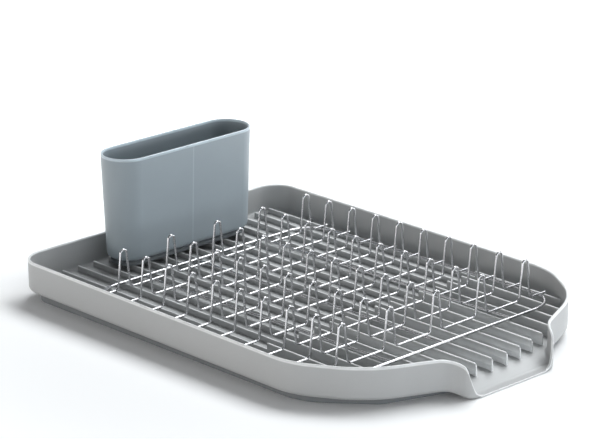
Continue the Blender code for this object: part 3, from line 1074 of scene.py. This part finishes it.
class DRAINER_OT_cup(bpy.types.Operator):
    """Models the cutlery cup with its divider"""

    bl_idname = "drainer.cup"
    bl_label = "Cutlery cup"

    def execute(self, context):
        sizes = context.scene.drainer_sizes
        centre = middle("cup")
        top_r = (CUP_HIGH.x - CUP_LOW.x) / 2
        straight = (CUP_HIGH.y - CUP_LOW.y) - 2 * top_r
        low, high = CUP_LOW.z, CUP_HIGH.z
        lean = (top_r - CUP_BOTTOM_R) / (high - low)
        cup = oval("cutlery_cup", CUP_BOTTOM_R, straight, low, centre)
        edit_all(cup)
        extrude_up(high - low)
        done()
        spread(cup, high, -(top_r - CUP_BOTTOM_R), centre, straight)
        edit(cup)
        face_outward()
        choose(cup, "FACE", lambda f: all(v.co.z > high - SAME for v in f.verts))
        bpy.ops.mesh.inset(thickness=sizes.cup_wall, depth=0)
        inner = low + CUP_FLOOR
        extrude_up(inner - high)
        done()
        spread(cup, inner, lean * (high - inner), centre, straight)
        edit(cup)
        choose(cup, "EDGE", lambda e: all(v.co.z > high - SAME for v in e.verts)
               and sharp(e))
        round_edges(CUP_RIM_ROUND, 4)
        choose(cup, "EDGE", lambda e: all(v.co.z < low + SAME for v in e.verts)
               and sharp(e))
        round_edges(CUP_ROUND, 8)
        choose(cup, "EDGE", lambda e: all(abs(v.co.z - inner) < SAME for v in e.verts)
               and sharp(e))
        round_edges(CUP_FILLET, 5)
        done()
        # The rim gets the mark for a painted highlight
        for reach in (1, 2):
            cut_level(cup, high - CUP_RIM_BELOW - reach * EDGE_BAND)
        mark_edges(cup, lambda co: co.z > high - CUP_RIM_BELOW - EDGE_BAND - SAME)
        smooth(cup, 40)
        # Where the sink mark's line is painted lighter as a highlight
        line = {"Middle": centre.y, "Width": SINK_WIDTH,
                "Side": centre.x + CUP_BOTTOM_R - sizes.cup_wall / 2}
        material = plastic("cup_plastic", context.scene.drainer_colours.cup, roughness=0.40,
                           grain_scale=1500.0, grain_depth=0.00005, highlight_amount=0.9, line=line)
        finish_piece(cup, "cup", "cup", material, "cup")

        deselect()
        bpy.ops.mesh.primitive_cube_add(size=1)
        divider = named("cup_divider")
        split = high - sizes.divider_drop
        foot = inner - DIVIDER_SINK
        divider.location = (centre.x, centre.y, (foot + split) / 2)
        divider.scale = (2 * CUP_BOTTOM_R - sizes.cup_wall, CUP_DIVIDER, split - foot)
        settle(divider)
        for v in divider.data.vertices:
            if v.co.z > split - SAME:
                out = lean * (split - inner)
                v.co.x += math.copysign(out, v.co.x - centre.x)
        edit(divider)
        choose(divider, "EDGE", lambda e: all(v.co.z > split - SAME for v in e.verts)
               and abs(e.verts[0].co.x - e.verts[1].co.x) > CUP_BOTTOM_R)
        round_edges(DIVIDER_ROUND, 4)
        done()
        smooth(divider, 40)
        finish_piece(divider, "cup", "cup", material)
        return {"FINISHED"}


class DRAINER_OT_cup_foot(bpy.types.Operator):
    """Models the dark foot under the cutlery cup"""

    bl_idname = "drainer.cup_foot"
    bl_label = "Cup foot"

    def execute(self, context):
        centre = middle("cup_foot")
        radius = (FOOT_HIGH.x - FOOT_LOW.x) / 2
        straight = (FOOT_HIGH.y - FOOT_LOW.y) - 2 * radius
        low, high = FOOT_LOW.z, FOOT_HIGH.z
        foot = oval("cup_base", radius, straight, low, centre)
        edit_all(foot)
        step = high - low - FOOT_NECK
        extrude_up(step)
        bpy.ops.mesh.inset(thickness=FOOT_NECK_INSET, depth=0)
        extrude_up(FOOT_NECK)
        face_outward()
        choose(foot, "EDGE", lambda e: sharp(e)
               and abs(e.verts[0].co.z - e.verts[1].co.z) < SAME
               and min(v.co.z for v in e.verts) < low + step + SAME)
        round_edges(FOOT_ROUND, 3)
        done()
        smooth(foot, 40)
        material = plastic("foot_plastic", context.scene.drainer_colours.foot, roughness=0.5,
                           grain_scale=1200.0, grain_depth=0.00006, highlight_amount=0.2)
        finish_piece(foot, "cup", "cup_foot", material, "cup_foot")
        return {"FINISHED"}


# Camera, lamps, floor and surroundings

CAMERA_SPOT = (1.7088, -1.6680, 0.8900)
CAMERA_TURN = (71.583, 0.282, 46.149)
CAMERA_LENS = 166.31
KEY_SPOT = (-0.15, 1.20, 1.85)
KEY_SIZE = (2.2, 1.05)
KEY_POWER = 60.0
KEY_COLOUR = (0.95, 0.98, 1.0)
WHITE = (1, 1, 1, 1)
BLACK = (0, 0, 0, 1)
FLOOR_SIZE = 12
FLOOR_PLAIN = (0.80, 0.80, 0.80, 1)
FLOOR_GLOW = 0.80
GLOW_REACH = (0.22, 0.90)     # distances from the middle where the glow begins and is full
ROOM_WALLS = (0.24, 0.25, 0.26)
ROOM_CEILING = (0.165, 0.17, 0.175)
ROOM_HEIGHTS = (0.06, 0.28)   # heights of a direction where the walls end, and the ceiling is full
# Bright parts of the walls: towards, where each begins and is full, colour with strength
ROOM_LOBES = [((-0.34, -0.94, 0.0), 0.25, 0.95, (4.50, 4.33, 4.17)),
              ((0.82, 0.57, 0.0), 0.30, 0.95, (5.60, 5.75, 5.90)),
              ((0.90, -0.44, 0.0), 0.40, 0.95, (0.40, 0.56, 0.68)),
              ((-0.72, 0.69, 0.0), 0.40, 0.90, (0.60, 0.60, 0.60))]
BACKDROP = ((-0.72, 0.69, 0.06), 0.74, 0.90)


def soft_step(tree, value, begin, full, most=1.0):
    """0 up to a value, rising softly to its most at another."""
    return node(tree, "ShaderNodeMapRange", {
        "Value": value, "From Min": begin, "From Max": full, "To Max": most},
        interpolation_type="SMOOTHSTEP").outputs["Result"]


def light_share(tree, *kinds):
    """1 for rays of the named kinds, otherwise 0."""
    path = node(tree, "ShaderNodeLightPath")
    total = path.outputs[kinds[0]]
    for kind in kinds[1:]:
        total = maths(tree, "MAXIMUM", total, path.outputs[kind])
    return total


def white_floor():
    """White worktop: for sight and reflections it glows enough to meet the background."""
    mat = bpy.data.materials.new("white_floor")
    mat.use_nodes = True
    tree = mat.node_tree
    tree.nodes.clear()
    plain = node(tree, "ShaderNodeBsdfDiffuse", {"Color": FLOOR_PLAIN})
    seen = node(tree, "ShaderNodeBsdfDiffuse", {"Color": WHITE})
    reach = node(tree, "ShaderNodeVectorMath", {0: object_place(tree)}, operation="LENGTH")
    far = soft_step(tree, reach.outputs["Value"], *GLOW_REACH, FLOOR_GLOW)
    glow = node(tree, "ShaderNodeEmission", {"Strength": far})
    both = node(tree, "ShaderNodeAddShader", {0: seen.outputs[0], 1: glow.outputs[0]})
    share = light_share(tree, "Is Camera Ray", "Is Glossy Ray", "Is Transmission Ray")
    mix = node(tree, "ShaderNodeMixShader", {0: share, 1: plain.outputs[0], 2: both.outputs[0]})
    node(tree, "ShaderNodeOutputMaterial", {"Surface": mix.outputs[0]})
    return mat


def facing(tree, way, toward, begin, full):
    """1 in a direction, falling softly to 0 away from it."""
    dot = node(tree, "ShaderNodeVectorMath", {0: way, 1: Vector(toward).normalized()},
               operation="DOT_PRODUCT")
    return soft_step(tree, dot.outputs["Value"], begin, full)


def studio_world(context):
    """A room with pale walls and a dim ceiling, and a white backdrop behind the object."""
    world = bpy.data.worlds.new("studio")
    context.scene.world = world
    world.use_nodes = True
    tree = world.node_tree
    tree.nodes.clear()
    way = node(tree, "ShaderNodeTexCoord").outputs["Generated"]
    walls = (*ROOM_WALLS, 1)
    for toward, begin, full, strength in ROOM_LOBES:
        lobe = mixed(tree, facing(tree, way, toward, begin, full), BLACK, (*strength, 1))
        walls = mixed(tree, 1.0, walls, lobe, blend="ADD")
    up = facing(tree, way, (0, 0, 1), *ROOM_HEIGHTS)
    lit = node(tree, "ShaderNodeBackground", {
        "Color": mixed(tree, up, walls, (*ROOM_CEILING, 1))})
    white = node(tree, "ShaderNodeBackground", {"Color": WHITE})
    behind = maths(tree, "MULTIPLY", light_share(tree, "Is Glossy Ray", "Is Transmission Ray"),
                   facing(tree, way, *BACKDROP))
    share = maths(tree, "MAXIMUM", light_share(tree, "Is Camera Ray"), behind)
    mix = node(tree, "ShaderNodeMixShader", {0: share, 1: lit.outputs[0], 2: white.outputs[0]})
    node(tree, "ShaderNodeOutputWorld", {"Surface": mix.outputs[0]})


def key_lamp():
    """A broad lamp above and behind the object, aimed at its middle."""
    way = (-Vector(KEY_SPOT)).to_track_quat("-Z", "Y").to_euler()
    bpy.ops.object.light_add(type="AREA", location=KEY_SPOT, rotation=way)
    lamp = named("key")
    lamp.data.shape = "RECTANGLE"
    lamp.data.size, lamp.data.size_y = KEY_SIZE
    lamp.data.energy = KEY_POWER
    lamp.data.color = KEY_COLOUR


class DRAINER_OT_stage(bpy.types.Operator):
    """Sets up the camera, the lamps, the floor and the surroundings"""

    bl_idname = "drainer.stage"
    bl_label = "Stage"

    def execute(self, context):
        deselect()
        turn = [math.radians(a) for a in CAMERA_TURN]
        bpy.ops.object.camera_add(location=CAMERA_SPOT, rotation=turn)
        camera = named("camera")
        camera.data.sensor_fit = "HORIZONTAL"
        camera.data.sensor_width = 36.0
        camera.data.lens = CAMERA_LENS
        context.scene.camera = camera
        bpy.ops.mesh.primitive_plane_add(size=FLOOR_SIZE)
        floor = named("floor")
        floor.data.materials.append(white_floor())
        key_lamp()
        studio_world(context)
        context.scene.view_settings.view_transform = "Standard"
        return {"FINISHED"}


OPERATORS = (DRAINER_OT_stage, DRAINER_OT_tray, DRAINER_OT_ribs, DRAINER_OT_base,
             DRAINER_OT_rack_frame, DRAINER_OT_long_wires, DRAINER_OT_tine_wires,
             DRAINER_OT_welds, DRAINER_OT_cup, DRAINER_OT_cup_foot)


class DRAINER_PT_panel(bpy.types.Panel):
    """Lists the drainer's pieces, sizes and colours"""

    bl_label = "Dish drainer"
    bl_idname = "DRAINER_PT_panel"
    bl_space_type = "VIEW_3D"
    bl_region_type = "UI"
    bl_category = "Drainer"

    def draw(self, context):
        layout = self.layout
        for group in (context.scene.drainer_sizes, context.scene.drainer_colours):
            box = layout.box()
            for name in group.__annotations__:
                box.prop(group, name)
        for operator in OPERATORS:
            layout.operator(operator.bl_idname)


CLASSES = (DrainerSizes, DrainerColours) + OPERATORS + (DRAINER_PT_panel,)


def register():
    for cls in CLASSES:
        bpy.utils.register_class(cls)
    bpy.types.Scene.drainer_sizes = bpy.props.PointerProperty(type=DrainerSizes)
    bpy.types.Scene.drainer_colours = bpy.props.PointerProperty(type=DrainerColours)


def unregister():
    del bpy.types.Scene.drainer_colours
    del bpy.types.Scene.drainer_sizes
    for cls in reversed(CLASSES):
        bpy.utils.unregister_class(cls)


def main():
    register()
    for operator in OPERATORS:
        name = operator.bl_idname.split(".")[1]
        getattr(bpy.ops.drainer, name)()


if __name__ == "__main__":
    main()
